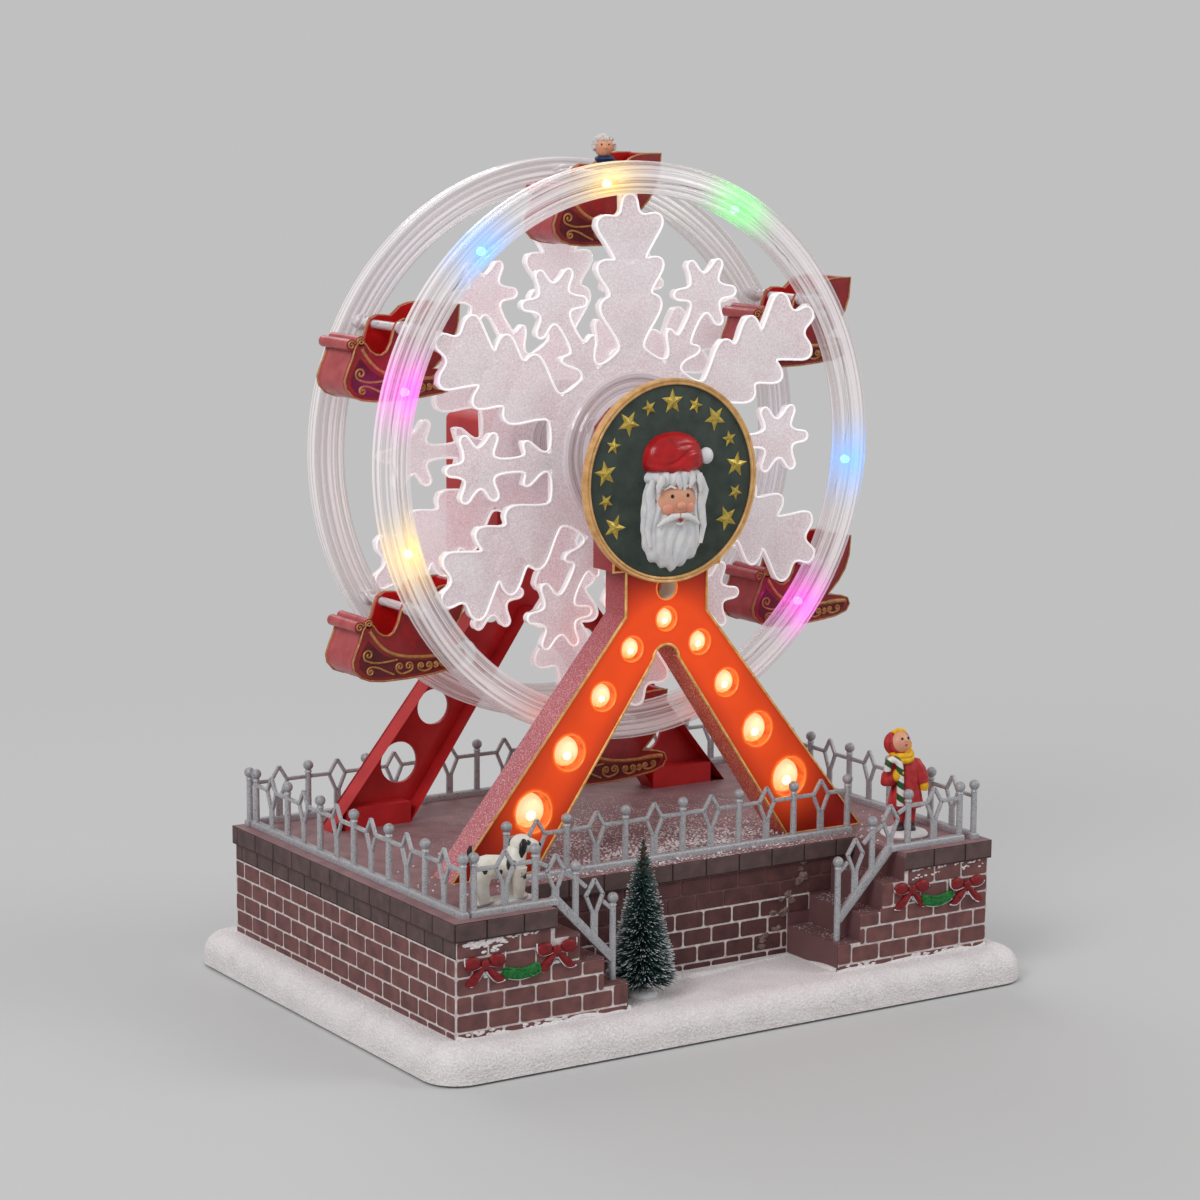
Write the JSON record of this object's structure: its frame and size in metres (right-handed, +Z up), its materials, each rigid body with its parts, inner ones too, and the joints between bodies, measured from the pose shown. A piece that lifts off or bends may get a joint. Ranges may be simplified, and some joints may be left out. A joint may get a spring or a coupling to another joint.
{
  "type": "christmas village ferris wheel",
  "caption": "Tabletop ferris wheel on a brick platform: clear snowflake wheel with sleigh gondolas, A-frames with lights, railings and a snow base",
  "frame": {"origin": "centre of the underside, on the surface that it stands on", "axes": "+Z up, +X along the front to the viewer's right, +Y to the back; the wheel turns about Y"},
  "size_m": [0.239, 0.178, 0.2934],
  "materials": {
    "snow": "glittery, fine grain",
    "dark_plastic": "fine grain",
    "steel": "zinc plated",
    "rubber": "matte",
    "cell": "satin, plain",
    "board": "lacquered",
    "brick": "painted, matte",
    "fence": "grey paint, satin",
    "lit_red": "painted, satin",
    "red": "satin",
    "warm_light": "lit",
    "led": "lit, in mixed colours",
    "brass": "satin",
    "maroon": "satin",
    "frosted": "frosted, clear edges",
    "clear": "clear",
    "sleigh": "painted, satin",
    "green_field": "painted, fine grain",
    "figure": "painted",
    "figure_red": "painted",
    "figure_blue": "painted",
    "tree": "bristles, frosted tips",
    "bow": "painted"
  },
  "bodies": {
    "stand": {"base_plate": "dark_plastic", "base_screws": "steel", "battery_box": "dark_plastic", "battery_cells": "cell", "battery_contacts": "steel", "battery_door": "dark_plastic", "battery_door_screw": "steel", "bows_left": "bow", "bows_right": "bow", "brush_holder": "dark_plastic", "child_figure": "figure_red", "circuit_board": "board", "dc_jack": "dark_plastic", "dog": "figure", "fence_centre": "fence", "fence_left": "fence", "fence_left_wing": "fence", "fence_rear": "fence", "fence_right": "fence", "fence_right_wing": "fence", "foot_pads": "rubber", "frame_bulbs": "warm_light", "frame_screws": "steel", "front_a_frame": "lit_red", "gearmotor": "steel", "medallion_disc": "green_field", "medallion_head": "figure", "motor_housing": "red", "platform_shell": "brick", "rear_a_frame": "red", "snow_base": "snow", "switch_housing": "dark_plastic", "tree": "tree"},
    "wheel": {"axle": "brass", "motor_shaft": "steel", "slip_ring": "brass", "drive_disc": "maroon", "front_snowflake": "frosted", "rear_snowflake": "frosted", "front_ring": "clear", "rear_ring": "clear", "ring_leds": "led", "gondola_pins": "clear"},
    "switch": {"switch_knob": "dark_plastic"},
    "sleigh_1": {"gondola_1": "sleigh"},
    "sleigh_2": {"gondola_2": "sleigh", "rider_top": "figure"},
    "sleigh_3": {"gondola_3": "sleigh"},
    "sleigh_4": {"gondola_4": "sleigh"},
    "sleigh_5": {"gondola_5": "sleigh"},
    "sleigh_6": {"gondola_6": "sleigh", "rider_right": "figure_blue"}
  },
  "joints": [
    {"name": "wheel_spin", "type": "hinge", "parent": "stand", "child": "wheel", "pos_m": [0, 0.0115, 0.1858], "axis": [0, -1, 0], "continuous": true},
    {"name": "sleigh_1_swing", "type": "hinge", "parent": "wheel", "child": "sleigh_1", "pos_m": [0.08015, 0.0115, 0.23492], "axis": [0, -1, 0], "continuous": true},
    {"name": "sleigh_2_swing", "type": "hinge", "parent": "wheel", "child": "sleigh_2", "pos_m": [-0.00246, 0.0115, 0.27977], "axis": [0, -1, 0], "continuous": true},
    {"name": "sleigh_3_swing", "type": "hinge", "parent": "wheel", "child": "sleigh_3", "pos_m": [-0.08261, 0.0115, 0.23065], "axis": [0, -1, 0], "continuous": true},
    {"name": "sleigh_4_swing", "type": "hinge", "parent": "wheel", "child": "sleigh_4", "pos_m": [-0.08015, 0.0115, 0.13669], "axis": [0, -1, 0], "continuous": true},
    {"name": "sleigh_5_swing", "type": "hinge", "parent": "wheel", "child": "sleigh_5", "pos_m": [0.00246, 0.0115, 0.09183], "axis": [0, -1, 0], "continuous": true},
    {"name": "sleigh_6_swing", "type": "hinge", "parent": "wheel", "child": "sleigh_6", "pos_m": [0.08261, 0.0115, 0.14095], "axis": [0, -1, 0], "continuous": true},
    {"name": "switch_slide", "type": "slide", "parent": "stand", "child": "switch", "axis": [1, 0, 0], "range_m": [0, 0.0042]}
  ],
  "couplings": [
    {"joint": "sleigh_1_swing", "follows": "wheel_spin", "ratio": -1},
    {"joint": "sleigh_2_swing", "follows": "wheel_spin", "ratio": -1},
    {"joint": "sleigh_3_swing", "follows": "wheel_spin", "ratio": -1},
    {"joint": "sleigh_4_swing", "follows": "wheel_spin", "ratio": -1},
    {"joint": "sleigh_5_swing", "follows": "wheel_spin", "ratio": -1},
    {"joint": "sleigh_6_swing", "follows": "wheel_spin", "ratio": -1}
  ]
}
